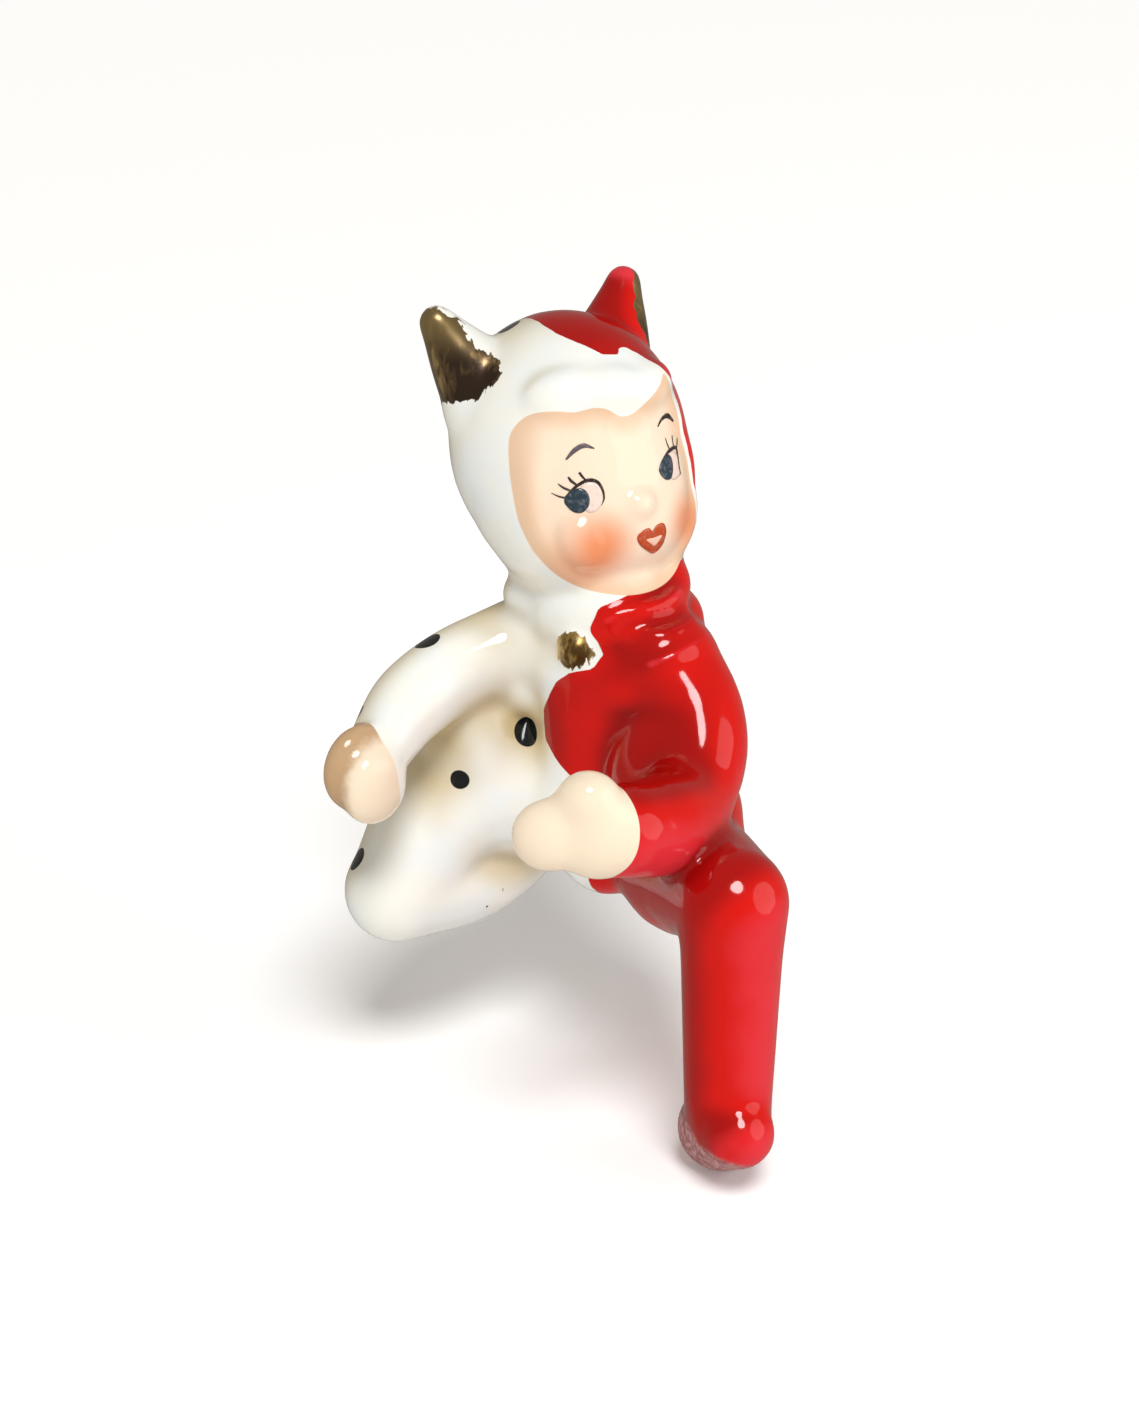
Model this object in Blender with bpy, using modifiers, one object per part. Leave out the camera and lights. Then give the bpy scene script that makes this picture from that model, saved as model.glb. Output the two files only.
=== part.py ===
"""Devil candle hugger: a seated figure, slip-cast and glazed in one piece, that hugs a taper candle.

Metres, +Z up. The origin is on the candle's axis at the height of the hands. The figure sits behind the
candle, at +Y, and faces -Y. Its left side, the red one, is at +X. Stations round the candle are given
as (bearing, gap, height): degrees from +Y towards +X, clear space to the candle's room, and height.
"""

import math

import bmesh
import bpy
from mathutils import Matrix, Vector

MM = 0.001

# Candle and the room that the figure leaves round it
CANDLE_DIAMETER = 22 * MM
CANDLE_CLEARANCE = 0.7 * MM
CANDLE_SPACE_HEIGHT = 60 * MM
CANDLE_SPACE_TOP = 11.5 * MM

# Torso
TORSO_DEPTH = 18 * MM
CHEST_WIDTH = 18 * MM
WAIST_WIDTH = 18 * MM
HIP_WIDTH = 20 * MM
SHOULDER_HEIGHT = 9.5 * MM
SHOULDER_THICKNESS = 12 * MM
CHEST_DROP = 1 * MM
WAIST_HEIGHT = -2 * MM
HIP_HEIGHT = -8.3 * MM
HIP_SPREAD = 8 * MM
LAP = (8, -0.6, -12.0)
LAP_WIDTH = 12 * MM

# Neck, which leans to the figure's right
NECK_HEIGHT = 14 * MM
NECK_LEAN = 2 * MM
NECK_BACK = 1.1 * MM
NECK_LIFT = 0.5 * MM
NECK_TOP_LIFT = 2 * MM

# Rolled collar, which shows more on the left and at the back
COLLAR_HEIGHT = 16 * MM
COLLAR_WIDTH = 20 * MM
COLLAR_ROLL = 4.4 * MM
COLLAR_PITCH = 4.5 * MM
COLLAR_TILT = 14
COLLAR_SHIFT = 1.0 * MM
COLLAR_BACK_SHIFT = 0.35 * MM
COLLAR_LIFT = 1 * MM

# Button
BUTTON_DIAMETER = 4.2 * MM
BUTTON_DROP = 2.4 * MM
BUTTON_SHIFT = 0.2 * MM

# Head, hood and face. Skull, cheeks and jaw are ellipsoids: centre and size are shares of the head's
# half sizes.
HEAD_WIDTH = 27.4 * MM
HEAD_LENGTH = 29.2 * MM
HEAD_TALLNESS = 32.5 * MM
HEAD_TURN = 67
HEAD_TIP = 17
HEAD_SIDE_SHIFT = -8.1 * MM
HEAD_BACK_SHIFT = 4 * MM
SKULL_SHARE = ((0, 0.06, 0.06), (1, 0.96, 0.94))
CHEEKS_SHARE = ((0, -0.05, -0.18), (0.97, 0.9, 0.8))
JAW_SHARE = ((0, -0.15, -0.44), (0.9, 0.82, 0.61))
HOOD_THICKNESS = 0.9 * MM
FACE_WIDTH = 21 * MM
FACE_HEIGHT = 22.6 * MM
FACE_DROP = 4.4 * MM
NOSE_WIDTH = 3.6 * MM
NOSE_DROP = 5.9 * MM
NOSE_RISE = 1.1 * MM
FRINGE_THICKNESS = 5.4 * MM
FRINGE_HEIGHT = 8.2 * MM

# Horns
HORN_LENGTH = 11.7 * MM
HORN_WIDTH = 12.2 * MM
HORN_TIP_WIDTH = 4.4 * MM
RIGHT_HORN_LEAN = 29
LEFT_HORN_LEAN = 23
HORN_SPREAD = 14.8 * MM
HORN_BACK = 3.2 * MM

# Arms, in stations round the candle
ARM_RISE = 1 * MM
UPPER_ARM_WIDTH = 10.6 * MM
FOREARM_WIDTH = 9.8 * MM
WRIST_WIDTH = 7.4 * MM
RIGHT_UPPER_ARM = (-39, 2.5, 9.4)
RIGHT_FOREARM = (-74, 0.2, 6.4)
RIGHT_WRIST = (-105, 0.4, 3.0)
LEFT_UPPER_ARM = (35, 5.3, 5.5)
LEFT_ELBOW = (53, 3.5, 0.4)
LEFT_FOREARM = (80, 1.2, 0.8)
LEFT_WRIST = (98, 1.0, 2.5)
LEFT_FOLD = (33, 1.0, -0.4)
RIGHT_FOLD = (-45, 1.6, -2.4)
FOLD_WIDTH = 13 * MM

# Mittens
HAND_LENGTH = 12.6 * MM
HAND_WIDTH = 10.8 * MM
HAND_THICKNESS = 6 * MM
THUMB_WIDTH = 6.4 * MM
RIGHT_HAND = (-116, 1.0, 1.6)
LEFT_HAND = (116, 2.0, 3.2)
RIGHT_HAND_TURN = -14
LEFT_HAND_TURN = -52

# Kneeling right leg
THIGH_WIDTH = 16 * MM
KNEE_WIDTH = 12.6 * MM
CALF_WIDTH = 11.6 * MM
ANKLE_WIDTH = 10 * MM
RIGHT_HIP_FORWARD = 1 * MM
RIGHT_HIP_RISE = 1.2 * MM
RIGHT_THIGH = (-53, 0.7, -9.8)
RIGHT_KNEE = (-81, 0.4, -18.2)
RIGHT_CALF = (-48, 2.0, -19.1)
RIGHT_ANKLE = (-27, 9.1, -16.0)
RIGHT_TOE = (-22, 15.4, -16.5)

# Hanging left leg
LEFT_LEG_TURN = 50.4
LEFT_THIGH_LENGTH = 24.6 * MM
THIGH_SAG = 3.2 * MM
SHIN_LENGTH = 32 * MM
FOOT_LENGTH = 14.5 * MM
FOOT_WIDTH = 9.5 * MM
HEEL_DROP = 2.6 * MM

# Cast wall and its vent under the seat
WALL = 3 * MM
VENT_DIAMETER = 4.5 * MM

# How finely the form is drawn
VOXEL = 0.45 * MM
WELD = 0.01 * MM
SOFTENING = 9
FORM_TRIANGLES = 10000
HOLLOW_TRIANGLES = 1400
BALL_SEGMENTS = 40

candle_room = CANDLE_DIAMETER / 2 + CANDLE_CLEARANCE
torso_y = candle_room + TORSO_DEPTH / 2


def around(station, width):
    """The centre of a form of this width that stands at a station round the candle."""
    bearing, gap, height = station
    reach = candle_room + gap * MM + width / 2
    angle = math.radians(bearing)
    return Vector((reach * math.sin(angle), reach * math.cos(angle), height * MM))


def clear_scene():
    for old in list(bpy.data.objects):
        bpy.data.objects.remove(old)


def collection(name):
    made = bpy.data.collections.new(name)
    bpy.context.scene.collection.children.link(made)
    return made


def move_to(made, into):
    for old in list(made.users_collection):
        old.objects.unlink(made)
    into.objects.link(made)
    return made


def ball(name, centre, radii, turn=Matrix.Identity(3)):
    """An ellipsoid with three radii, turned about its centre."""
    bpy.ops.mesh.primitive_uv_sphere_add(segments=BALL_SEGMENTS, ring_count=BALL_SEGMENTS // 2, radius=1)
    made = bpy.context.object
    made.name = name
    made.data.transform(Matrix.Translation(centre) @ turn.to_4x4() @ Matrix.Diagonal((*radii, 1)))
    return made


def ring(name, centre, width, roll, tilt):
    """A rolled collar of the given outer width, higher at the back by its tilt."""
    bpy.ops.mesh.primitive_torus_add(major_radius=(width - roll) / 2, minor_radius=roll / 2)
    made = bpy.context.object
    made.name = name
    made.data.transform(Matrix.Translation(centre) @ Matrix.Rotation(math.radians(tilt), 4, "X"))
    return made


def tube_mesh(name, stations):
    """A tapering round tube through stations of (centre, width), as a closed mesh."""
    data = bpy.data.curves.new(name, "CURVE")
    data.dimensions = "3D"
    data.bevel_depth = 1
    data.bevel_resolution = 6
    data.resolution_u = 10
    data.use_fill_caps = True
    spline = data.splines.new("BEZIER")
    spline.bezier_points.add(len(stations) - 1)
    for knot, (centre, width) in zip(spline.bezier_points, stations):
        knot.co = centre
        knot.radius = width / 2
        knot.handle_left_type = "AUTO"
        knot.handle_right_type = "AUTO"
    curve = bpy.data.objects.new(name, data)
    bpy.context.scene.collection.objects.link(curve)
    mesh = evaluated_copy(curve)
    bpy.data.objects.remove(curve)
    weld = bmesh.new()
    weld.from_mesh(mesh)
    bmesh.ops.remove_doubles(weld, verts=weld.verts, dist=WELD)
    weld.to_mesh(mesh)
    weld.free()
    tube = bpy.data.objects.new(name, mesh)
    bpy.context.scene.collection.objects.link(tube)
    return tube


def limb(name, stations):
    """A tube with a ball at each end."""
    ends = [ball(name, centre, (width / 2,) * 3) for centre, width in (stations[0], stations[-1])]
    return [tube_mesh(name, stations), *ends]


def evaluated_copy(source):
    bpy.context.view_layer.update()
    graph = bpy.context.evaluated_depsgraph_get()
    return bpy.data.meshes.new_from_object(source.evaluated_get(graph))


def apply_modifiers(thing):
    thing.data = evaluated_copy(thing)
    thing.modifiers.clear()


def cut_away(thing, cutter):
    cut = thing.modifiers.new(cutter.name, "BOOLEAN")
    cut.operation = "DIFFERENCE"
    cut.solver = "EXACT"
    cut.object = cutter
    apply_modifiers(thing)


def as_cutter(made, into):
    made.hide_render = True
    made.display_type = "WIRE"
    return move_to(made, into)


def head_frame():
    """The head's own axes: X to its left, -Y out of the face, Z to the crown."""
    turn = Matrix.Rotation(math.radians(HEAD_TURN), 4, "Z") @ Matrix.Rotation(-math.radians(HEAD_TIP), 4, "X")
    centre = (HEAD_SIDE_SHIFT, torso_y + HEAD_BACK_SHIFT, COLLAR_HEIGHT + HEAD_TALLNESS / 2)
    return Matrix.Translation(centre) @ turn


def head_balls(name, inset):
    """Skull, cheeks and jaw, all smaller than the head's outside by the inset."""
    frame = head_frame()
    turn = frame.to_3x3()
    half = Vector((HEAD_WIDTH, HEAD_LENGTH, HEAD_TALLNESS)) / 2
    sized = []
    for centre_share, size_share in (SKULL_SHARE, CHEEKS_SHARE, JAW_SHARE):
        centre = frame @ Vector(a * b for a, b in zip(centre_share, half))
        radii = [a * b - inset for a, b in zip(size_share, half)]
        sized.append(ball(name, centre, radii, turn))
    return sized


def face_opening(into):
    """The oval that the hood leaves open, as a cutter that runs out through the front of the head."""
    bpy.ops.mesh.primitive_cylinder_add(vertices=64, radius=0.5, depth=HEAD_LENGTH)
    made = bpy.context.object
    made.name = "face_opening"
    forward = Matrix.Translation((0, -HEAD_LENGTH / 2 - 3 * HOOD_THICKNESS, -FACE_DROP))
    lying = Matrix.Rotation(math.radians(90), 4, "X")
    size = Matrix.Diagonal((FACE_WIDTH, 1, FACE_HEIGHT, 1))
    made.data.transform(head_frame() @ forward @ size @ lying)
    return as_cutter(made, into)


def on_head(share, x, z, depth):
    """A point this deep under the front of the skull or the cheeks, and the turn that faces outwards."""
    centre_share, size_share = share
    half = Vector((HEAD_WIDTH, HEAD_LENGTH, HEAD_TALLNESS)) / 2
    centre = Vector(a * b for a, b in zip(centre_share, half))
    size = Vector(a * b for a, b in zip(size_share, half))
    across = x / size.x
    up = (z - centre.z) / size.z
    forward = math.sqrt(1 - across * across - up * up)
    y = centre.y - size.y * forward + depth
    yaw = math.atan2(across / size.x, forward / size.y)
    pitch = math.atan2(up / size.z, forward / size.y)
    turn = Matrix.Rotation(yaw, 3, "Z") @ Matrix.Rotation(-pitch, 3, "X")
    return Vector((x, y, z)), turn


def fringe_pieces():
    """The lock of hair under the hood's edge: soft waves side by side that follow the brow."""
    frame = head_frame()
    thick = FRINGE_THICKNESS / 2
    pieces = []
    for side, rise, tilt in ((-0.26, -0.1, -8), (-0.02, -0.2, 4), (0.24, -0.3, -14)):
        height = FRINGE_HEIGHT + rise * FRINGE_THICKNESS
        at, turn = on_head(SKULL_SHARE, side * FACE_WIDTH, height, thick * 0.62)
        turn = frame.to_3x3() @ turn @ Matrix.Rotation(math.radians(tilt), 3, "Y")
        pieces.append(ball("fringe", frame @ at, (FACE_WIDTH * 0.22, thick, thick * 1.1), turn))
    return pieces


def horn_pieces():
    frame = head_frame()
    pieces = []
    for side, lean_degrees in ((-1, RIGHT_HORN_LEAN), (1, LEFT_HORN_LEAN)):
        lean = math.radians(lean_degrees)
        root = Vector((side * HORN_SPREAD / 2, HORN_BACK, 0.21 * HEAD_TALLNESS))
        tip = root + Vector((side * math.sin(lean), 0, math.cos(lean))) * HORN_LENGTH
        middle = root.lerp(tip, 0.55)
        widths = (HORN_WIDTH, (HORN_WIDTH + HORN_TIP_WIDTH) / 2, HORN_TIP_WIDTH)
        pieces += limb("horn", list(zip((frame @ root, frame @ middle, frame @ tip), widths)))
    return pieces


def head_pieces(cutters):
    frame = head_frame()
    hood = head_balls("hood", 0)
    opening = face_opening(cutters)
    for shell in hood:
        cut_away(shell, opening)
    face = head_balls("face", HOOD_THICKNESS)
    nose_depth = HOOD_THICKNESS + NOSE_WIDTH / 2 - NOSE_RISE
    nose_at = on_head(CHEEKS_SHARE, 0, -NOSE_DROP, nose_depth)[0]
    nose = ball("nose", frame @ nose_at, (NOSE_WIDTH / 2,) * 3)
    return hood + face + [nose] + fringe_pieces() + horn_pieces()


def torso_pieces():
    y = torso_y
    pieces = limb(
        "torso",
        [
            (Vector((0, y, HIP_HEIGHT)), HIP_WIDTH),
            (Vector((0, y, WAIST_HEIGHT)), WAIST_WIDTH),
            (Vector((0, y, SHOULDER_HEIGHT - CHEST_DROP)), CHEST_WIDTH),
            (Vector((-NECK_LEAN / 2, y + NECK_BACK, COLLAR_HEIGHT + NECK_TOP_LIFT)), COLLAR_WIDTH * 0.7),
        ],
    )
    shoulders = (CHEST_WIDTH * 0.72, TORSO_DEPTH / 2, SHOULDER_THICKNESS / 2)
    pieces.append(ball("shoulders", Vector((0, y, SHOULDER_HEIGHT)), shoulders))
    pieces.append(ball("lap", around(LAP, LAP_WIDTH), (LAP_WIDTH / 2,) * 3))
    neck = Vector((-NECK_LEAN, y + NECK_BACK, COLLAR_HEIGHT + NECK_LIFT))
    pieces.append(ball("neck", neck, (COLLAR_WIDTH * 0.46, TORSO_DEPTH / 2, NECK_HEIGHT / 2)))
    shift = Vector((COLLAR_SHIFT, COLLAR_BACK_SHIFT, 0))
    upper = neck + shift + Vector((0, 0, COLLAR_LIFT))
    lower = upper + shift - Vector((0, 0, COLLAR_PITCH))
    pieces.append(ring("upper_roll", upper, COLLAR_WIDTH * 0.94, COLLAR_ROLL, COLLAR_TILT))
    pieces.append(ring("lower_roll", lower, COLLAR_WIDTH, COLLAR_ROLL, COLLAR_TILT))
    button_centre = Vector((BUTTON_SHIFT, candle_room + 0.38 * BUTTON_DIAMETER, COLLAR_HEIGHT - BUTTON_DROP))
    pieces.append(ball("button", button_centre, (BUTTON_DIAMETER / 2,) * 3))
    return pieces


def arm(name, side, stations):
    """An arm from the shoulder's root, beside the chest, through its stations round the candle."""
    root = Vector((side * CHEST_WIDTH * 0.39, torso_y, SHOULDER_HEIGHT + ARM_RISE))
    line = [(root, UPPER_ARM_WIDTH * 1.3)]
    line += [(around(station, width), width) for station, width in stations]
    return limb(name, line)


def arm_pieces():
    right = ((RIGHT_UPPER_ARM, UPPER_ARM_WIDTH), (RIGHT_FOREARM, FOREARM_WIDTH), (RIGHT_WRIST, WRIST_WIDTH))
    left = (
        (LEFT_UPPER_ARM, UPPER_ARM_WIDTH * 1.1),
        (LEFT_ELBOW, UPPER_ARM_WIDTH),
        (LEFT_FOREARM, FOREARM_WIDTH * 1.15),
        (LEFT_WRIST, WRIST_WIDTH * 1.42),
    )
    half = FOLD_WIDTH / 2
    tall = (half, half, half * 1.3)
    folds = [ball("fold", around(station, FOLD_WIDTH), tall) for station in (LEFT_FOLD, RIGHT_FOLD)]
    return arm("right_arm", -1, right) + arm("left_arm", 1, left) + folds


def left_hand_pieces():
    """A mitten laid round the candle: one ball of fingers, the heel of the hand, and a thumb on top."""
    turn = Matrix.Rotation(math.radians(LEFT_HAND_TURN), 3, "Z")
    centre = around(LEFT_HAND, HAND_THICKNESS)
    half = Vector((HAND_THICKNESS, HAND_LENGTH, HAND_WIDTH)) / 2
    fingers_at = centre + turn @ Vector((0, -0.25 * HAND_LENGTH, 0))
    heel_at = centre + turn @ Vector((0, 0.16 * HAND_LENGTH, 0))
    thumb_at = centre + turn @ Vector((0, 0.08 * HAND_LENGTH, 0.37 * HAND_WIDTH))
    fingers = ball("left_fingers", fingers_at, (half.x, half.y * 0.68, half.z * 0.8), turn)
    heel = ball("left_heel", heel_at, (half.x * 1.15, half.y * 0.8, half.z), turn)
    thumb = ball("left_thumb", thumb_at, (THUMB_WIDTH * 0.5, THUMB_WIDTH * 0.58, THUMB_WIDTH * 0.55), turn)
    return [fingers, heel, thumb]


def right_hand_pieces():
    """A mitten seen along its edge: the back of the hand and the palm side by side, a crease between."""
    turn = Matrix.Rotation(math.radians(RIGHT_HAND_TURN), 3, "Z")
    centre = around(RIGHT_HAND, HAND_THICKNESS)
    half = Vector((HAND_THICKNESS, HAND_LENGTH, HAND_WIDTH)) / 2
    back_at = centre + turn @ Vector((-0.22 * HAND_THICKNESS, -0.02 * HAND_LENGTH, 0.08 * HAND_WIDTH))
    palm_at = centre + turn @ Vector((0.2 * HAND_THICKNESS, 0, -0.06 * HAND_WIDTH))
    back = ball("right_back", back_at, (half.x * 0.8, half.y * 0.78, half.z * 0.99), turn)
    palm = ball("right_palm", palm_at, (half.x * 0.8, half.y * 0.7, half.z * 0.88), turn)
    return [back, palm]


def right_leg_pieces():
    """Thigh down to the knee beside the candle, and the calf folded back under it."""
    hip = Vector((-HIP_SPREAD * 1.25, torso_y - RIGHT_HIP_FORWARD, HIP_HEIGHT + RIGHT_HIP_RISE))
    knee = around(RIGHT_KNEE, KNEE_WIDTH)
    thigh = [(hip, THIGH_WIDTH * 1.22), (around(RIGHT_THIGH, THIGH_WIDTH), THIGH_WIDTH), (knee, KNEE_WIDTH)]
    calf = [(knee, KNEE_WIDTH)]
    folded = ((RIGHT_CALF, CALF_WIDTH), (RIGHT_ANKLE, ANKLE_WIDTH), (RIGHT_TOE, FOOT_WIDTH * 0.85))
    for station, width in folded:
        calf.append((around(station, width), width))
    return limb("right_thigh", thigh) + limb("right_calf", calf)


def left_leg_pieces():
    """Thigh turned out to the side, and the shin hanging straight down from the knee."""
    turn = math.radians(LEFT_LEG_TURN)
    out = Vector((math.sin(turn), -math.cos(turn), 0))
    hip = Vector((HIP_SPREAD, torso_y, HIP_HEIGHT))
    knee = hip + (out + Vector((0, 0, 0.06))) * LEFT_THIGH_LENGTH
    sag = Vector((0, 0, THIGH_SAG))
    lap = hip.lerp(knee, 0.25) - sag
    middle = hip.lerp(knee, 0.55) - sag * 0.6
    thigh = [(hip, THIGH_WIDTH * 1.12), (lap, THIGH_WIDTH), (middle, THIGH_WIDTH * 0.9), (knee, KNEE_WIDTH)]
    ankle = knee - Vector((0, 0, SHIN_LENGTH - FOOT_WIDTH / 2))
    below_knee = (knee.lerp(ankle, 0.25), KNEE_WIDTH * 0.91)
    shin = [(knee, KNEE_WIDTH), below_knee, (knee.lerp(ankle, 0.6), CALF_WIDTH * 0.93), (ankle, ANKLE_WIDTH)]
    toe = ankle + out * (FOOT_LENGTH - FOOT_WIDTH) * 0.8
    heel = ankle - out * (FOOT_LENGTH - FOOT_WIDTH) * 0.35 - Vector((0, 0, HEEL_DROP))
    foot = [(heel, FOOT_WIDTH * 1.1), (toe, FOOT_WIDTH * 0.88)]
    return limb("left_thigh", thigh) + limb("left_shin", shin) + limb("left_foot", foot)


def candle_space(into):
    """The candle's room, cut through the lap and the insides of the hands and knees."""
    bpy.ops.mesh.primitive_cylinder_add(vertices=96, radius=candle_room, depth=CANDLE_SPACE_HEIGHT)
    made = bpy.context.object
    made.name = "candle_space"
    made.location.z = CANDLE_SPACE_TOP - CANDLE_SPACE_HEIGHT / 2
    return as_cutter(made, into)


def cast_hollow(into):
    """What the slip leaves empty: one space through head, neck and body, and the vent under the seat."""
    hollow_head = head_balls("hollow_head", HOOD_THICKNESS + WALL)
    neck = Vector((-NECK_LEAN / 2, torso_y + NECK_BACK, COLLAR_HEIGHT + NECK_TOP_LIFT))
    body = [
        (head_frame().translation, COLLAR_WIDTH * 0.7 - 2 * WALL),
        (neck, COLLAR_WIDTH * 0.7 - 2 * WALL),
        (Vector((0, torso_y, SHOULDER_HEIGHT - CHEST_DROP)), CHEST_WIDTH - 2 * WALL),
        (Vector((0, torso_y, HIP_HEIGHT)), HIP_WIDTH - 2 * WALL),
    ]
    vent_top = Vector((0, torso_y, HIP_HEIGHT))
    vent_foot = vent_top - Vector((0, 0, HIP_WIDTH))
    vent = tube_mesh("vent", [(vent_top, VENT_DIAMETER), (vent_foot, VENT_DIAMETER)])
    hollow = joined("cast_hollow", [*hollow_head, *limb("hollow_body", body), vent], into)
    one_skin(hollow, VOXEL)
    apply_modifiers(hollow)
    thin_to(hollow, HOLLOW_TRIANGLES)
    return as_cutter(hollow, into)


def joined(name, pieces, into):
    bpy.ops.object.select_all(action="DESELECT")
    for piece in pieces:
        piece.select_set(True)
    bpy.context.view_layer.objects.active = pieces[0]
    bpy.ops.object.join()
    whole = bpy.context.object
    whole.name = name
    return move_to(whole, into)


def one_skin(thing, voxel):
    remesh = thing.modifiers.new("one_skin", "REMESH")
    remesh.mode = "VOXEL"
    remesh.voxel_size = voxel


def thin_to(thing, triangles):
    thin = thing.modifiers.new("thin", "DECIMATE")
    now = sum(len(face.vertices) - 2 for face in thing.data.polygons)
    thin.ratio = triangles / now
    apply_modifiers(thing)


def blend_form(figure, cutters):
    """Melts the overlapping forms into one skin, clears the candle's room and softens the creases."""
    one_skin(figure, VOXEL)
    apply_modifiers(figure)
    cut_away(figure, candle_space(cutters))
    one_skin(figure, VOXEL)
    smooth = figure.modifiers.new("soften", "SMOOTH")
    smooth.factor = 0.5
    smooth.iterations = round(SOFTENING)
    apply_modifiers(figure)
    thin_to(figure, FORM_TRIANGLES)


def glaze():
    made = bpy.data.materials.new("white_glazed_porcelain")
    made.use_nodes = True
    shader = made.node_tree.nodes["Principled BSDF"]
    shader.inputs["Base Color"].default_value = (0.84, 0.82, 0.74, 1)
    shader.inputs["Roughness"].default_value = 0.12
    shader.inputs["Metallic"].default_value = 0
    return made


def main():
    clear_scene()
    parts = collection("devil_candle_hugger")
    cutters = collection("cutters")
    pieces = head_pieces(cutters) + torso_pieces() + arm_pieces()
    pieces += left_hand_pieces() + right_hand_pieces() + right_leg_pieces() + left_leg_pieces()
    figure = joined("figure", pieces, parts)
    blend_form(figure, cutters)
    cut_away(figure, cast_hollow(cutters))
    figure.data.materials.clear()
    figure.data.materials.append(glaze())
    figure.data.shade_smooth()
    figure.data.set_sharp_from_angle(angle=math.radians(50))


main()
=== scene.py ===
import math

import bpy
import numpy as np
from mathutils import Matrix, Vector
from mathutils.bvhtree import BVHTree


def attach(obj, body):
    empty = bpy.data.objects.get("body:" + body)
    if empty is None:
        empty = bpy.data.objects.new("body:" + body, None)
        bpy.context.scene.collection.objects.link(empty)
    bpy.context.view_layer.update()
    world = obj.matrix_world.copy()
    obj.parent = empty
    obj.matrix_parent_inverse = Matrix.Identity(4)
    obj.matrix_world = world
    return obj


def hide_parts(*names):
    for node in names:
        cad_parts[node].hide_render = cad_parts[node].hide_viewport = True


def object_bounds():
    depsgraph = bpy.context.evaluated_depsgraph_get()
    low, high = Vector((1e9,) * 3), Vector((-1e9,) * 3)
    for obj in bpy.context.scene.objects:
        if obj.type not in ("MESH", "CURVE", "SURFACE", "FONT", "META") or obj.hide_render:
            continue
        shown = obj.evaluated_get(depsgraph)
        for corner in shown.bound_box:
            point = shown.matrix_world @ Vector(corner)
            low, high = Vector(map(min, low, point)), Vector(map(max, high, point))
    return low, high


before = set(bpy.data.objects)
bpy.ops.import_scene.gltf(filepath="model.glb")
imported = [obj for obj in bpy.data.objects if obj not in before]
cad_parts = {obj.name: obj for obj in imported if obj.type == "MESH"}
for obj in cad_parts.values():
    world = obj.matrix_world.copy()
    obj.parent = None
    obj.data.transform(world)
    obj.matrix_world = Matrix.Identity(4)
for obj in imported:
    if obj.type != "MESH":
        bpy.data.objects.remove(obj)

# Looks of the devil candle hugger: a slip-cast porcelain figure under clear glaze, with red glaze on its
# left half, air-brushed skin, black dots, gold lustre and a face painted by hand. Metres, in the frame of
# the cast. Points and lengths without mm beside them are in millimetres.
mm = 0.001
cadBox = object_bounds()
print("frame loaded")

# The head's own axes: X to the figure's left, -Y out of the face, Z to the crown
headPlace = {"centre": (-8.1, 24.7, 32.25), "turn": 67, "tip": 17}
headAxes = (
    Matrix.Translation(Vector(headPlace["centre"]) * mm)
    @ Matrix.Rotation(math.radians(headPlace["turn"]), 4, "Z")
    @ Matrix.Rotation(-math.radians(headPlace["tip"]), 4, "X")
)


def pickOnly(*pieces):
    bpy.ops.object.select_all(action="DESELECT")
    for piece in pieces:
        piece.select_set(True)
    bpy.context.view_layer.objects.active = pieces[0]


def finishWith(piece, kind, **settings):
    pickOnly(piece)
    bpy.ops.object.modifier_add(type=kind)
    added = piece.modifiers[-1]
    for name, value in settings.items():
        setattr(added, name, value)
    bpy.ops.object.modifier_apply(modifier=added.name)


def joinInto(piece, others):
    pickOnly(piece, *others)
    bpy.ops.object.join()


def settle(piece):
    # Puts the piece's place in its mesh, with its object at the origin
    pickOnly(piece)
    bpy.ops.object.transform_apply(location=True, rotation=True, scale=True)


def wayTo(azimuth, elevation):
    turn, rise = math.radians(azimuth), math.radians(elevation)
    return Vector((math.sin(turn) * math.cos(rise), -math.cos(turn) * math.cos(rise), math.sin(rise)))


# Photograph's viewpoint
viewpoint = {
    "azimuth": 35,
    "elevation": 25,
    "distance": 350 * mm,
    "pixelsPerMm": 8.95,
    "originPixel": (506, 800),
    "imageSize": (1139, 1424),
    "filmHeight": 36,
}


def placeCamera():
    turn = math.radians(viewpoint["azimuth"])
    back = wayTo(viewpoint["azimuth"], viewpoint["elevation"])
    right = Vector((math.cos(turn), math.sin(turn), 0))
    up = back.cross(right)
    width, height = viewpoint["imageSize"]
    column, row = viewpoint["originPixel"]
    scale = viewpoint["pixelsPerMm"]
    aim = (right * (width / 2 - column) + up * (row - height / 2)) / scale * mm
    bpy.ops.object.camera_add()
    camera = bpy.context.object
    camera.name = "photo_view"
    camera.data.sensor_fit = "VERTICAL"
    camera.data.sensor_height = viewpoint["filmHeight"]
    camera.data.lens = viewpoint["filmHeight"] * scale / mm * viewpoint["distance"] / height
    camera.data.clip_start = 10 * mm
    place = Matrix((right, up, back)).transposed().to_4x4()
    place.translation = aim + back * viewpoint["distance"]
    camera.matrix_world = place
    bpy.context.scene.camera = camera


# Nodes of a material
def linear(hexColour):
    channels = [int(hexColour[i:i + 2], 16) / 255 for i in (1, 3, 5)]
    return (*[c / 12.92 if c <= 0.04045 else ((c + 0.055) / 1.055) ** 2.4 for c in channels], 1)


def addNode(tree, kind, settings=None, links=None):
    node = tree.nodes.new("ShaderNode" + kind)
    for name, value in (settings or {}).items():
        if isinstance(name, int):
            node.inputs[name].default_value = value
        elif name in node.inputs:
            node.inputs[name].default_value = value
        else:
            setattr(node, name, value)
    for name, source in (links or {}).items():
        socket = source if isinstance(source, bpy.types.NodeSocket) else source.outputs[0]
        tree.links.new(socket, node.inputs[name])
    return node


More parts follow.
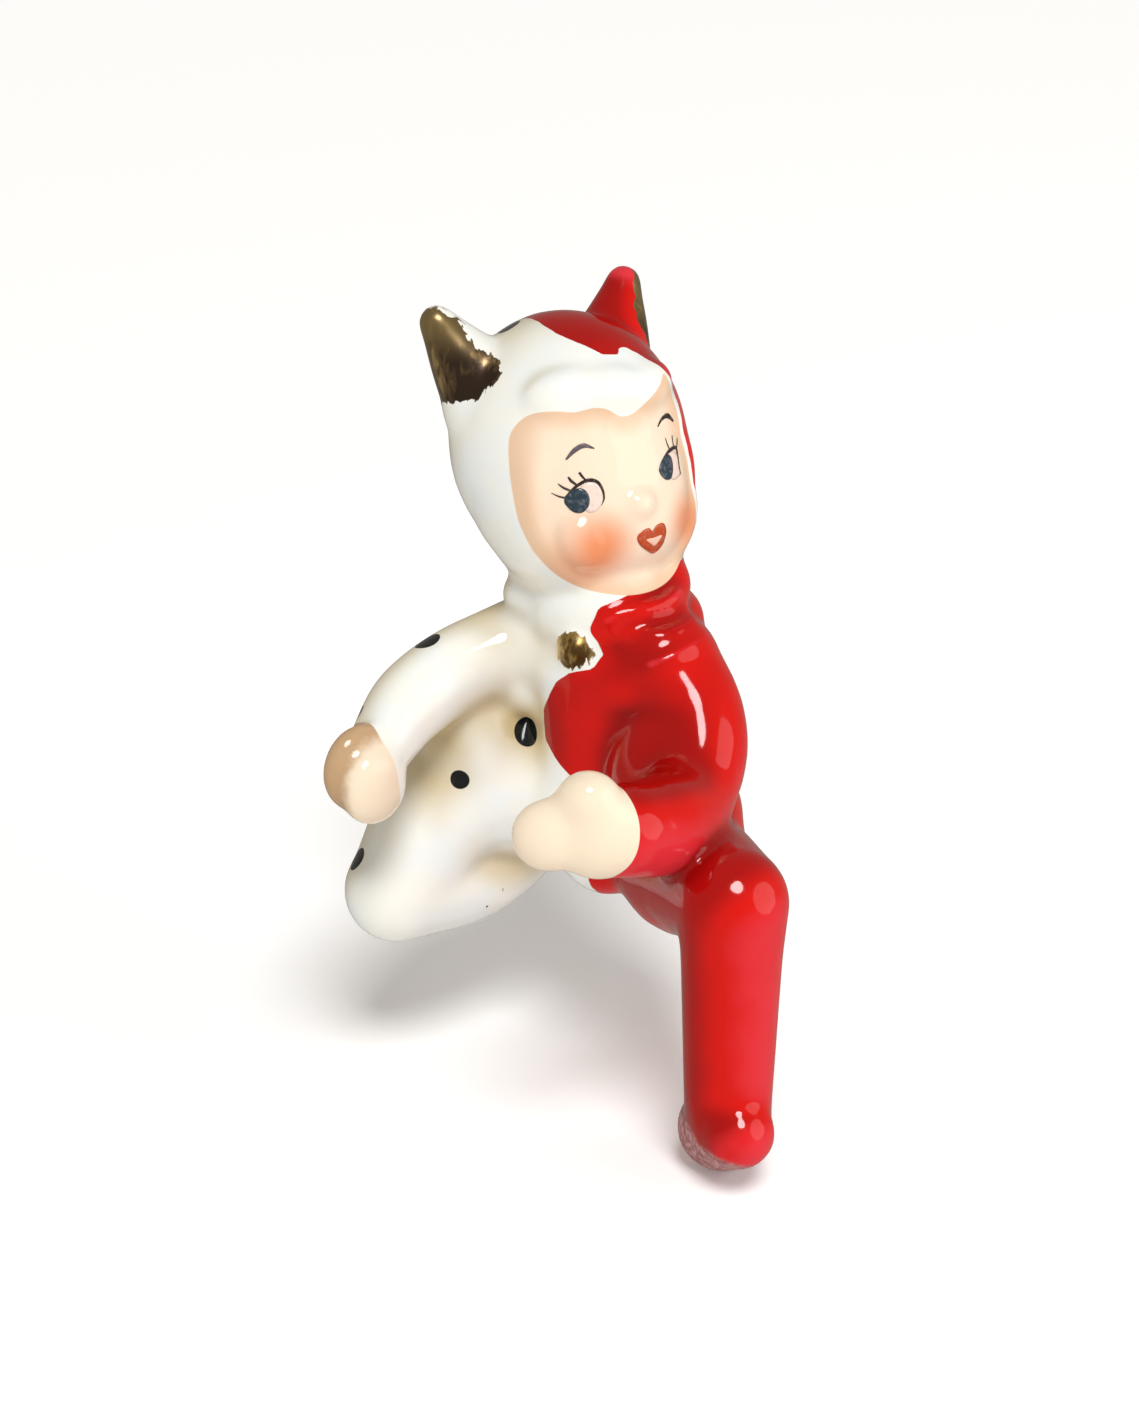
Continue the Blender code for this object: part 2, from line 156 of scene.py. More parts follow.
def newMaterial(name):
    made = bpy.data.materials.new(name)
    made.use_nodes = True
    made.node_tree.nodes.clear()
    return made, made.node_tree


def ramp(tree, source, low, high, flip=False):
    # A soft step from 0 to 1 as the source goes from low to high
    settings = {"From Min": low, "From Max": high, "interpolation_type": "SMOOTHSTEP"}
    if flip:
        settings.update({"To Min": 1.0, "To Max": 0.0})
    return addNode(tree, "MapRange", settings, {"Value": source})


def blend(tree, amount, under, over):
    # Colours are hex strings or the outputs of earlier nodes
    node = addNode(tree, "Mix", {"data_type": "RGBA", "clamp_factor": True}, {})
    tree.links.new(amount.outputs[0], node.inputs[0])
    for socket, colour in ((node.inputs[6], under), (node.inputs[7], over)):
        if isinstance(colour, str):
            socket.default_value = linear(colour)
        else:
            tree.links.new(colour, socket)
    return node.outputs[2]


def mathNode(tree, operation, first, second=None):
    node = addNode(tree, "Math", {"operation": operation})
    for socket, value in zip(node.inputs, (first, second)):
        if value is None:
            continue
        if isinstance(value, (int, float)):
            socket.default_value = value
        else:
            tree.links.new(value if isinstance(value, bpy.types.NodeSocket) else value.outputs[0], socket)
    return node


# Form of the figure. The cast's skin is rounded, the nose, a cheek, the collar's small folds and two low
# rises are added, and the folds where limb meets body are softened as slip would leave them
castForm = {
    "mergeWithin": 0.01 * mm,
    "facetLevels": 2,
    "skin": 0.42 * mm,
    "softening": 8,
    "ventPlug": {"centre": (0, 20.7, -12.6), "width": 9},
    "onHead": [
        {"centre": (0.1, -11.9, -5.9), "size": (4.6, 4.6, 4.2)},
        {"centre": (-5.0, -9.0, -8.6), "size": (8.6, 6.2, 8.0)},
    ],
    "onBody": [
        {"centre": (-9.0, 17.3, 17.2), "size": (6.6, 7.4, 5.0)},
        {"centre": (-8.0, 15.4, 5.8), "size": (5.8, 5.8, 6.4)},
    ],
    "foldWidth": 1.9,
    "foldSunk": 0.95,
    "foldEnd": 0.4,
    "neckAxis": (-0.5, 22, 0),
    "collarFolds": [
        [
            (2.6, 13.9, 16.9), (3.3, 14.5, 17.3), (4.6, 15.7, 17.9), (6.8, 18.5, 18.3), (7.9, 22.4, 18.8),
            (6.2, 25.2, 19.4),
        ],
        [(4.2, 14.9, 14.7), (6.6, 16.1, 15.5), (9.6, 18.0, 15.9), (10.3, 21.7, 16.2), (8.0, 24.8, 16.4)],
        [(8.0, 14.4, 12.6), (9.6, 15.0, 13.2), (11.8, 17.6, 14.3), (11.8, 22.0, 14.7), (9.2, 25.2, 14.8)],
    ],
    "meltRounds": 55,
    "meltLevels": 8,
    "melted": [
        ((10.5, 11.5, 2.5), 8.5), ((2.5, 12.5, 4.0), 7.0), ((-6.5, 13.0, 0.5), 6.5),
        ((-12.5, 11.0, -1.0), 8.0), ((9.0, 13.5, -11.0), 7.0), ((21.0, 8.0, -9.0), 6.0),
        ((-8.5, 13.5, 7.0), 6.0), ((-9.5, 16.2, 17.0), 5.5),
    ],
}


def roundForm(centre, size, axes):
    # An ellipsoid of the given size, in the head's axes or the body's
    bpy.ops.mesh.primitive_uv_sphere_add(radius=0.5 * mm)
    made = bpy.context.object
    made.matrix_world = axes @ Matrix.Translation(Vector(centre) * mm) @ Matrix.Diagonal((*size, 1))
    return made


def softFold(points):
    # A thin roll that rises from the surface and sinks back into it at both ends
    curve = bpy.data.curves.new("fold", "CURVE")
    curve.dimensions = "3D"
    curve.bevel_depth = castForm["foldWidth"] / 2 * mm
    curve.use_fill_caps = True
    spline = curve.splines.new("BEZIER")
    spline.bezier_points.add(len(points) - 1)
    last = len(points) - 1
    axis = Vector(castForm["neckAxis"])
    for i, (knot, point) in enumerate(zip(spline.bezier_points, points)):
        level = Vector((axis.x, axis.y, point[2]))
        knot.co = level.lerp(Vector(point), castForm["foldSunk"]) * mm
        knot.radius = castForm["foldEnd"] if i in (0, last) else 1.0
        knot.handle_left_type = "AUTO"
        knot.handle_right_type = "AUTO"
    fold = bpy.data.objects.new("fold", curve)
    bpy.context.scene.collection.objects.link(fold)
    pickOnly(fold)
    bpy.ops.object.convert(target="MESH")
    return bpy.context.object


def makeFigure():
    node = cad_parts["figure"]
    figure = bpy.data.objects.new("glazed_figure", node.data.copy())
    bpy.context.scene.collection.objects.link(figure)
    figure.data.materials.clear()
    pickOnly(figure)
    bpy.ops.object.mode_set(mode="EDIT")
    bpy.ops.mesh.select_all(action="SELECT")
    bpy.ops.mesh.remove_doubles(threshold=castForm["mergeWithin"])
    bpy.ops.object.mode_set(mode="OBJECT")
    finishWith(figure, "SUBSURF", levels=castForm["facetLevels"], render_levels=castForm["facetLevels"])
    plug = castForm["ventPlug"]
    place = Vector(plug["centre"]) * mm
    bpy.ops.mesh.primitive_uv_sphere_add(radius=plug["width"] / 2 * mm, location=place)
    extras = [bpy.context.object]
    extras += [roundForm(**form, axes=headAxes) for form in castForm["onHead"]]
    extras += [roundForm(**form, axes=Matrix()) for form in castForm["onBody"]]
    extras += [softFold(points) for points in castForm["collarFolds"]]
    joinInto(figure, extras)
    finishWith(figure, "REMESH", mode="VOXEL", voxel_size=castForm["skin"])
    meltFolds(figure)
    finishWith(figure, "SMOOTH", factor=0.5, iterations=castForm["softening"])
    pickOnly(figure)
    bpy.ops.object.shade_smooth()
    return figure


def meltFolds(figure):
    # Each place melts fully out to half its reach, and less and less beyond
    points = meshPoints(figure)
    weights = np.zeros(len(points))
    for place, reach in castForm["melted"]:
        share = 1 - np.linalg.norm(points - np.array(place), axis=1) / reach
        weights = np.maximum(weights, np.clip(share * 2, 0, 1))
    group = figure.vertex_groups.new(name="melted")
    levels = castForm["meltLevels"]
    for level in range(1, levels + 1):
        near = np.flatnonzero(np.round(weights * levels) == level)
        group.add(near.tolist(), level / levels, "REPLACE")
    finishWith(figure, "SMOOTH", factor=0.5, iterations=castForm["meltRounds"], vertex_group="melted")
    figure.vertex_groups.clear()


# Places of points on the figure, as arrays in millimetres
def meshPoints(piece):
    flat = np.empty(len(piece.data.vertices) * 3, np.float32)
    piece.data.vertices.foreach_get("co", flat)
    return flat.reshape(-1, 3).astype(float) / mm


def inHeadAxes(points):
    toHead = np.array(headAxes.inverted())
    return points @ toHead[:3, :3].T + toHead[:3, 3] / mm


def storeField(piece, name, values):
    field = piece.data.attributes.new(name, "FLOAT", "POINT")
    field.data.foreach_set("value", np.asarray(values, np.float32))


def softPoint(a, b, c, d, t):
    # A point on the soft line from b to c, with a before them and d after
    return 0.5 * (2 * b + (c - a) * t + (2 * a - 5 * b + 4 * c - d) * t**2 + (3 * b - a - 3 * c + d) * t**3)


def smoothOutline(points, steps=6):
    # A closed line that runs softly through its points
    made = []
    count = len(points)
    for i in range(count):
        a, b, c, d = (np.array(points[(i + k) % count], float) for k in (-1, 0, 1, 2))
        for t in np.linspace(0, 1, steps, endpoint=False):
            made.append(softPoint(a, b, c, d, t))
    return made


def insideOf(u, v, outline):
    # Distance to a closed outline, positive inside it
    nearest = np.full(len(u), np.inf)
    tiny = 1e-12
    inside = np.zeros(len(u), bool)
    for (x0, y0), (x1, y1) in zip(outline, outline[1:] + outline[:1]):
        dx, dy = x1 - x0, y1 - y0
        along = np.clip(((u - x0) * dx + (v - y0) * dy) / (dx * dx + dy * dy + tiny), 0, 1)
        nearest = np.minimum(nearest, np.hypot(u - x0 - along * dx, v - y0 - along * dy))
        if dy != 0:
            inside ^= ((y0 > v) != (y1 > v)) & (u < dx * (v - y0) / dy + x0)
    return np.where(inside, nearest, -nearest)


def outward(points, through, towards):
    # Distance past a flat cut, positive on the side it faces
    normal = np.array(towards, float)
    return (points - np.array(through, float)) @ (normal / np.linalg.norm(normal))


def pastCut(points, place):
    # As outward, but only within reach of a centre
    near = place["reach"] - np.linalg.norm(points - np.array(place["centre"]), axis=1)
    return np.minimum(outward(points, place["through"], place["facing"]), near)


# Borders of the colours. Those of the head are seen from its front, as (x, z) in its own axes
borders = {
    "faceOpening": [
        (-9.5, 5.9), (-10.9, 4.7), (-11.6, 3.0), (-11.9, 0), (-12.0, -3.6), (-11.6, -6.7), (-10.9, -9.4),
        (-9.3, -11.9), (-7.0, -13.9), (-4.4, -15.3), (-1.5, -16.1), (2, -16.1), (5.2, -15.2), (7.8, -13.2),
        (9.5, -10.2), (9.9, -6.5), (9.6, -3), (9.1, -0.5), (8.9, 1.7), (8.5, 3.6), (7.7, 5.6), (6.7, 7.6),
        (6.1, 7.3), (5.4, 6.6), (3.3, 5.1), (1.6, 4.1), (-0.2, 4), (-1.9, 5.1), (-3.4, 5.5), (-5.4, 5.4),
        (-7.7, 5.9),
    ],
    "faceBehind": -2,
    "whiteOfHood": [
        (-3.3, 15.6), (-2.8, 13.7), (-1.6, 12.5), (-0.5, 11.4), (0.3, 10.9), (2, 10.6), (2.6, 11.2),
        (3.6, 11.2), (5, 10.2), (6.2, 8.9), (7.3, 7.6), (8.5, 6.1), (9.2, 4.4), (9.5, 2.5), (9.6, 0.5),
        (10, -2), (10.4, -5), (10.8, -9), (9.6, -13.6), (6.8, -16.6), (5, -19), (4, -24), (-30, -24),
        (-30, 30), (-4, 30),
    ],
    "seamOverCrown": [(-12, -3.4), (-4, -3.2), (2, -2.8), (8, -1.6), (20, -0.6)],
    "crownFrom": (-4, 0),
    "seamDownChest": [
        (-30, 1.8), (-22, 2.6), (-16, 3.4), (-12, 3.0), (-7, 2.4), (-2, 1.1), (-0.7, -1), (1.6, -3.5),
        (5.3, -3.8), (9.5, -1.7), (11.3, 0.4), (12.1, 2.9), (13.6, 3.5), (15.1, 2.7), (16.4, 1.9),
        (18.4, 2.3), (22, 3.4),
    ],
    "seamDownBack": [(-30, 0.5), (-10, 0.2), (0, -0.6), (10, 0.4), (24, -0.8)],
    "backFrom": (18, 24),
    "collarTop": {"through": (2.3, 14.3, 18.4), "facing": (-0.4, -0.1, 1)},
    "collarOverlap": 0.3,
    "rightWrist": {
        "through": (-14.0, -5.2, 6.0), "facing": (-0.28, -0.86, -0.1),
        "centre": (-13.6, -7.6, 1.2), "reach": 10,
    },
    "leftCuff": {
        "through": (20.9, -5.2, 4.5), "facing": (-0.2, -0.93, 0.26),
        "centre": (14.5, -9.5, 3.4), "reach": 12,
    },
    "palmTanAndShade": {"through": (-13.6, -9, 3), "facing": (-1, 0.1, 0)},
    "sole": {
        "through": (28, 0, -35.6), "facing": (-0.25, -0.1, -1),
        "centre": (28, 1, -36), "reach": 11,
    },
    "thinRedHeel": {
        "through": (24.6, 0.6, -33), "facing": (-0.8, -0.35, -0.35),
        "centre": (27, 1, -33), "reach": 11,
    },
}

# Gold lustre on the horns' outer faces and on the button. A horn's patch is an outline seen along the azimuth
# given in the head's axes, past the horn's leaning middle line by so much
lustre = {
    "horns": [
        {"azimuth": -38, "side": -1, "lean": 29, "past": -6, "outline": [
            (-12.2, 18.9), (-11, 17.9), (-9.6, 17), (-9.1, 15.3), (-8.3, 14), (-6.9, 12.8), (-5.9, 12.1),
            (-5.5, 11), (-6.0, 9.9), (-7.6, 8.9), (-8.8, 8.1), (-10.4, 8.1), (-12.6, 8), (-16, 8.2),
            (-16, 19),
        ]},
        {"azimuth": 74, "side": 1, "lean": 23, "past": 0.3, "outline": [
            (3.6, 18.2), (3.2, 17), (2.9, 15.8), (2.7, 14.4), (2.7, 12), (3.4, 10), (5.2, 8.6), (7.6, 8.8),
            (8.6, 12), (8, 16), (6.4, 18.6),
        ]},
    ],
    "hornRoot": (7.4, 6.8),    # out from the head's middle and up
    "nearestToMiddle": 4,
    "hornMiddle": (10.4, 2.2, 13.0),
    "hornReach": 7.2,
    "button": {"centre": (0.2, 13.3, 13.6), "reach": 2.35},
}

# Black enamel dots, with two kiln specks and one stray touch of the brush: place and radius
dots = [
    ((-16.9, 8.0, 12.3), 1.6), ((-7.1, 14.4, 0.9), 1.85), ((-12.4, 8.0, -4.1), 1.2),
    ((-21.9, -0.2, -13.8), 1.5), ((-19.2, -2.0, 6.2), 1.2), ((-15.6, 22.9, 45.9), 1.5),
    ((-19.5, 22.5, 27.0), 1.5), ((-9.5, 29.4, 8.0), 1.6), ((-16.6, 24.0, 3.5), 1.5),
    ((-6.0, 31.0, -5.0), 1.6), ((-20.2, 17.0, -8.5), 1.6), ((-15.6, 27.0, -15.5), 1.5),
    ((-14.6, 14.0, -24.4), 1.5), ((14.3, 23.1, 12.0), 0.3), ((-9.9, 9.5, -20.9), 0.25),
    ((-9.0, 11.5, -19.3), 0.25),
]
dotOverRed = 0.3

# Rays over each point that look for shelter, which the colours turn into painted shade, how often each field
# is softened over the mesh, and the ways faced by the white's painted shade and by the red's painted sheen
shelterRays = {"count": 14, "start": 0.1, "reach": 14, "lowest": 0.9}
softenRounds = {"creases": 14, "shelter": 26, "sheenSide": 12}
shadeSide = np.array((-0.9, 0.2, 0.4)) / math.hypot(0.9, 0.2, 0.4)
sheenSide = np.array((0.85, -0.15, -0.5)) / math.hypot(0.85, 0.15, 0.5)


def stepAcross(values, start, end):
    return np.clip((values - start) / (end - start), 0, 1)


def paintRed(points, head):
    # Positive where the red glaze lies: the left half, but for a white rim and forelock round the face
    x, y, z = points.T
    front = np.interp(z, *np.array(borders["seamDownChest"]).T)
    behind = np.interp(z, *np.array(borders["seamDownBack"]).T)
    share = stepAcross(y, *borders["backFrom"])
    body = x - (front * (1 - share) + behind * share)
    hx, hy, hz = head.T
    rim = -insideOf(hx, hz, smoothOutline(borders["whiteOfHood"]))
    crown = hx - np.interp(hy, *np.array(borders["seamOverCrown"]).T)
    toBack = stepAcross(hy, *borders["crownFrom"])
    hood = rim * (1 - toBack) + crown * toBack
    above = outward(points, borders["collarTop"]["through"], borders["collarTop"]["facing"])
    return np.maximum(np.minimum(body, borders["collarOverlap"] - above), np.minimum(hood, above))


def paintSkin(points, head):
    # Positive on the face and on both mittens
    hx, hy, hz = head.T
    opening = insideOf(hx, hz, smoothOutline(borders["faceOpening"]))
    face = np.minimum(opening, borders["faceBehind"] - hy)
    found = [face]
    found += [pastCut(points, borders[name]) for name in ("rightWrist", "leftCuff")]
    return np.max(found, axis=0)


def paintGold(points, head):
    found = []
    rootOut, rootUp = lustre["hornRoot"]
    for patch in lustre["horns"]:
        turn = math.radians(patch["azimuth"])
        u = head[:, 0] * math.cos(turn) + head[:, 1] * math.sin(turn)
        inside = insideOf(u, head[:, 2], smoothOutline(patch["outline"]))
        axis = rootOut + (head[:, 2] - rootUp) * math.tan(math.radians(patch["lean"]))
        onSide = patch["side"] * head[:, 0] - np.maximum(axis + patch["past"], lustre["nearestToMiddle"])
        middle = np.array((patch["side"] * lustre["hornMiddle"][0], *lustre["hornMiddle"][1:]))
        near = lustre["hornReach"] - np.linalg.norm(head - middle, axis=1)
        found.append(np.min([inside, onSide, near], axis=0))
    button = lustre["button"]
    found.append(button["reach"] - np.linalg.norm(points - np.array(button["centre"]), axis=1))
    return np.max(found, axis=0)


def paintDots(points):
    found = [radius - np.linalg.norm(points - np.array(place), axis=1) for place, radius in dots]
    return np.max(found, axis=0)


def vertexNormals(piece):
    flat = np.empty(len(piece.data.vertices) * 3, np.float32)
    piece.data.vertices.foreach_get("normal", flat)
    return flat.reshape(-1, 3).astype(float)


def neighbourMean(piece, values, rounds):
    # Columns of values, each softened over the mesh's edges
    edges = np.empty(len(piece.data.edges) * 2, np.int64)
    piece.data.edges.foreach_get("vertices", edges)
    first, second = edges.reshape(-1, 2).T
    size = len(values)
    count = np.bincount(first, minlength=size) + np.bincount(second, minlength=size)
    soft = values.copy()
    for _ in range(rounds):
        total = np.zeros_like(soft)
        for column in range(soft.shape[1]):
            total[:, column] += np.bincount(first, soft[second, column], size)
            total[:, column] += np.bincount(second, soft[first, column], size)
        soft = total / count[:, None]
    return soft


def creases(piece, points, normals):
    # How far each point lies in a hollow, where glaze runs together and the white takes painted shade,
    # against a softened copy of the form
    softened = neighbourMean(piece, points, softenRounds["creases"])
    return ((softened - points) * normals).sum(axis=1)


def shelter(piece, points, normals):
    # Share of the directions over each point that another part of the figure closes off
    tree = BVHTree.FromObject(piece, bpy.context.evaluated_depsgraph_get())
    steps = np.arange(shelterRays["count"]) + 0.5
    rise = 1 - steps / shelterRays["count"] * shelterRays["lowest"]
    turn = steps * math.pi * (3 - math.sqrt(5))
    level = np.sqrt(1 - rise**2)
    helper = np.where(np.abs(normals[:, 2:]) < 0.9, [[0, 0, 1]], [[1, 0, 0]])
    across = np.cross(normals, helper)
    across /= np.linalg.norm(across, axis=1)[:, None]
    along = np.cross(normals, across)
    starts = (points + normals * shelterRays["start"]) * mm
    closed = np.zeros(len(points))
    for r, t, h in zip(rise, turn, level):
        directions = normals * r + across * h * math.cos(t) + along * h * math.sin(t)
        for i, (start, direction) in enumerate(zip(starts.tolist(), directions.tolist())):
            if tree.ray_cast(start, direction, shelterRays["reach"] * mm)[0] is not None:
                closed[i] += r
    return neighbourMean(piece, closed[:, None] / rise.sum(), softenRounds["shelter"])[:, 0]


def storePaint(figure):
    points = meshPoints(figure)
    normals = vertexNormals(figure)
    head = inHeadAxes(points)
    red = paintRed(points, head)
    storeField(figure, "redGlaze", red)
    storeField(figure, "skinColour", paintSkin(points, head))
    storeField(figure, "goldLustre", paintGold(points, head))
    storeField(figure, "blackDots", np.minimum(paintDots(points), dotOverRed - red))
    storeField(figure, "hollows", creases(figure, points, normals))
    # Share of directions closed off by other parts, which the colours turn into painted shade
    storeField(figure, "coveredShade", shelter(figure, points, normals))
    # Painted shade on the white, on the side that faces up, back and to the figure's right
    storeField(figure, "shadeSide", normals @ shadeSide)
    # Painted sheen on the red, on the side that faces the figure's left, front and down
    thin = neighbourMean(figure, (normals @ sheenSide)[:, None], softenRounds["sheenSide"])
    storeField(figure, "sheenSide", thin[:, 0])
    # Tan on one palm's side, partly its own colour and partly painted shade
    palm = borders["palmTanAndShade"]
    storeField(figure, "palmTanAndShade", outward(points, palm["through"], palm["facing"]))
    storeField(figure, "bareSole", pastCut(points, borders["sole"]))
    storeField(figure, "thinRed", pastCut(points, borders["thinRedHeel"]))


def fieldNode(tree, name):
    return addNode(tree, "Attribute", {"attribute_name": name}).outputs["Fac"]


def noise(tree, place, size, detail, **more):
    return addNode(tree, "TexNoise", {"Scale": 1 / size, "Detail": detail, **more}, {"Vector": place})


def partOf(tree, amount, share):
    return mathNode(tree, "MULTIPLY", amount, share)


def eitherWay(tree, pattern, width):
    # A pattern from 0 to 1, turned to half the width either side of 0
    return mathNode(tree, "MULTIPLY", mathNode(tree, "SUBTRACT", pattern, 0.5), width)


# Glazed porcelain: a white body fired under clear glaze. It gives a hard wet shine over soft depth, cream
# where the glaze runs together, with painted shade there too, on one side and where other parts close over
# it, and paint that lies crisply on it. In this and the next dictionaries, a name that ends in Where is the
# span of a field over which a colour comes in, and one in Share how far it does
glaze = {
    "white": "#eeede4",
    "cool": "#e8ecea",
    "cream": "#d6caac",
    "pooledAndShaded": "#c4ae7c",
    "black": "#17191a",
    "coolWhere": (0.35, 0.75),
    "shadeSideWhere": (0.1, 0.8),
    "shadeSideShare": 0.85,
    "coveredShadeWhere": (0.06, 0.38),
    "coveredShadeShare": 0.9,
    "hollowWhere": (0.0, 0.3),
    "hollowShare": 0.25,
    "roughness": 0.09,
    "ior": 1.5,
    "shine": 0.38,
    "paintBorder": (-0.045, 0.045),
    "wobbleSize": 2.4 * mm,
    "wobbleWidth": 0.44,
    "mottleSize": 7 * mm,
    "rippleSize": 3.2 * mm,
    "rippleDepth": 0.05 * mm,
    "paintDepth": 0.05 * mm,
}


def whiteColour(tree, coveredShade, mottle):
    # Cooler on the open rounds; painted shade in cream on the side facing up, back and to the figure's right,
    # and in olive where other parts close over it; olive where the glaze pools in hollows, partly painted
    # shade
    white = blend(tree, ramp(tree, mottle, *glaze["coolWhere"]), glaze["white"], glaze["cool"])
    side = ramp(tree, fieldNode(tree, "shadeSide"), *glaze["shadeSideWhere"])
    white = blend(tree, partOf(tree, side, glaze["shadeSideShare"]), white, glaze["cream"])
    # Painted shade in olive where other parts close over the glaze
    under = ramp(tree, coveredShade, *glaze["coveredShadeWhere"])
    white = blend(tree, partOf(tree, under, glaze["coveredShadeShare"]), white, glaze["pooledAndShaded"])
    # Olive where the glaze pools in hollows, partly painted shade
    hollow = ramp(tree, fieldNode(tree, "hollows"), *glaze["hollowWhere"])
    return blend(tree, partOf(tree, hollow, glaze["hollowShare"]), white, glaze["pooledAndShaded"])


# Red glaze over the white: thin and pinkish on the ridges, with a painted pinkish sheen on the side facing
# the figure's left, front and down, deep where it is thick, with painted shade where other parts close over
# it and on the side turned away from the sheen, worn to the body at the heel
redGlaze = {
    "colour": "#cc1008",
    "thick": "#8c0504",
    # Pinkish red of thin glaze on the ridges, and of the painted sheen on one side
    "thin": "#d8323c",
    "worn": "#8d5250",
    "shelterWeight": 1.1,
    "unevenness": 0.18,
    "thickWhere": (0.05, 0.45),
    "sideUnevenness": 2.0,
    "sheenSideWhere": (0.45, 0.95),
    "sheenSideShare": 0.85,
    "thickSideWhere": (-0.1, 0.42),
    "thickSideShare": 0.7,
    "ridgeWhere": (-0.3, -0.12),
    "heelUnevenness": 12.0,
    "heelWhere": (-1.2, 1.6),
    "heelShare": 0.8,
}


def redColour(tree, coveredShade, mottle):
    # Deep red where the glaze is thick in hollows, and as painted shade where other parts close over it
    under = partOf(tree, coveredShade, redGlaze["shelterWeight"])
    thick = mathNode(tree, "ADD", fieldNode(tree, "hollows"), under)
    uneven = eitherWay(tree, mottle, redGlaze["unevenness"])
    tone = mathNode(tree, "ADD", thick, uneven)
    red = blend(tree, ramp(tree, tone, *redGlaze["thickWhere"]), redGlaze["colour"], redGlaze["thick"])
    unevenSide = partOf(tree, uneven, redGlaze["sideUnevenness"])
    side = mathNode(tree, "ADD", fieldNode(tree, "sheenSide"), unevenSide)
    # Painted sheen in pink on the side facing the figure's left, front and down
    sheenSide = ramp(tree, side, *redGlaze["sheenSideWhere"])
    red = blend(tree, partOf(tree, sheenSide, redGlaze["sheenSideShare"]), red, redGlaze["thin"])
    # Painted shade: deep red on the side turned away from the painted sheen
    thickSide = ramp(tree, side, *redGlaze["thickSideWhere"], flip=True)
    red = blend(tree, partOf(tree, thickSide, redGlaze["thickSideShare"]), red, redGlaze["thick"])
    red = blend(tree, ramp(tree, tone, *redGlaze["ridgeWhere"], flip=True), red, redGlaze["thin"])
    unevenHeel = partOf(tree, uneven, redGlaze["heelUnevenness"])
    rubbed = mathNode(tree, "ADD", fieldNode(tree, "thinRed"), unevenHeel)
    heel = ramp(tree, rubbed, *redGlaze["heelWhere"])
    return blend(tree, partOf(tree, heel, redGlaze["heelShare"]), red, redGlaze["worn"])


# Flesh colour, air-brushed: deeper at the face's border and on the cheeks, tan on the side of one palm that
# faces the figure's right, partly its own colour and partly painted shade, and deeper as painted shade where
# other parts close over the mittens. A cheek has its centre (x, z) in the face's plane, its radius and the
# strength of its blush
flesh = {
    "face": "#f1dac2",
    "deep": "#e3c0a0",
    "blush": "#e07a3e",
    "mitten": "#eedcc3",
    "palm": "#b08a60",
    "borderWhere": (0.1, 3.0),
    "cheeks": [((-5.4, -9.9), 5.8, 0.85), ((7.4, -9.2), 4.8, 0.8)],
    "blushFade": (0.1, 1.0),
    "mittensBelow": (-20 * mm, -18 * mm),
    "palmBorderNoiseSize": 1.6 * mm,
    "palmUnevenness": 1.6,
    "palmWhere": (-0.8, 1.0),
    "palmShare": 0.85,
    "coveredShadeWhere": (0.1, 0.5),
    "coveredShadeShare": 0.7,
}


def blushMask(tree, onFace, centre, radius, strength):
    parts = addNode(tree, "SeparateXYZ", {}, {"Vector": onFace})
    across = mathNode(tree, "SUBTRACT", parts.outputs["X"], centre[0] * mm)
    up = mathNode(tree, "SUBTRACT", parts.outputs["Z"], centre[1] * mm)
    squares = mathNode(tree, "ADD", mathNode(tree, "POWER", across, 2.0), mathNode(tree, "POWER", up, 2.0))
    away = mathNode(tree, "DIVIDE", mathNode(tree, "SQRT", squares), radius * mm)
    return partOf(tree, ramp(tree, away, *flesh["blushFade"], flip=True), strength)


def fleshColour(tree, place, coveredShade, onFace, height):
    border = ramp(tree, fieldNode(tree, "skinColour"), *flesh["borderWhere"], flip=True)
    face = blend(tree, border, flesh["face"], flesh["deep"])
    for centre, radius, strength in flesh["cheeks"]:
        face = blend(tree, blushMask(tree, onFace, centre, radius, strength), face, flesh["blush"])
    # Tan on one palm's side, partly its own colour and partly painted shade, with an uneven border
    worn = noise(tree, place, flesh["palmBorderNoiseSize"], 4.0)
    tan = mathNode(tree, "ADD", fieldNode(tree, "palmTanAndShade"), eitherWay(tree, worn, flesh["palmUnevenness"]))
    palm = ramp(tree, tan, *flesh["palmWhere"])
    mitten = blend(tree, partOf(tree, palm, flesh["palmShare"]), flesh["mitten"], flesh["palm"])
    # Painted shade on the mittens where other parts close over them
    under = ramp(tree, coveredShade, *flesh["coveredShadeWhere"])
    mitten = blend(tree, partOf(tree, under, flesh["coveredShadeShare"]), mitten, flesh["deep"])
    return blend(tree, ramp(tree, height, *flesh["mittensBelow"], flip=True), face, mitten)


# Gold lustre, brushed on last and worn at its border: a thin film of metal with the brush's hairs in it,
# browner and darker on the horns than on the button, with a painted highlight that lightens the horns' tips
gold = {
    "dark": "#4a3b2e",
    "colour": "#7b6646",
    "bright": "#b79c68",
    "buttonDark": "#6a5028",
    "button": "#b8985a",
    "buttonBright": "#f0dcae",
    "hairSize": 0.9 * mm,
    "hairStretch": 0.3,
    "hairDistortion": 0.6,
    "dryBorder": 1.7,
    "broadSize": 4.5 * mm,
    "colourWhere": (0.46, 0.6),
    "brightWhere": (0.58, 0.7),
    "tipHighlightWhere": (12 * mm, 17 * mm),
    "tipHighlightShare": 0.55,
    "buttonWhere": (0.38, 0.48),
    "buttonBrightWhere": (0.54, 0.64),
    "hornsAbove": (-10 * mm, -5 * mm),
    "metal": 0.8,
    "roughness": 0.3,
}


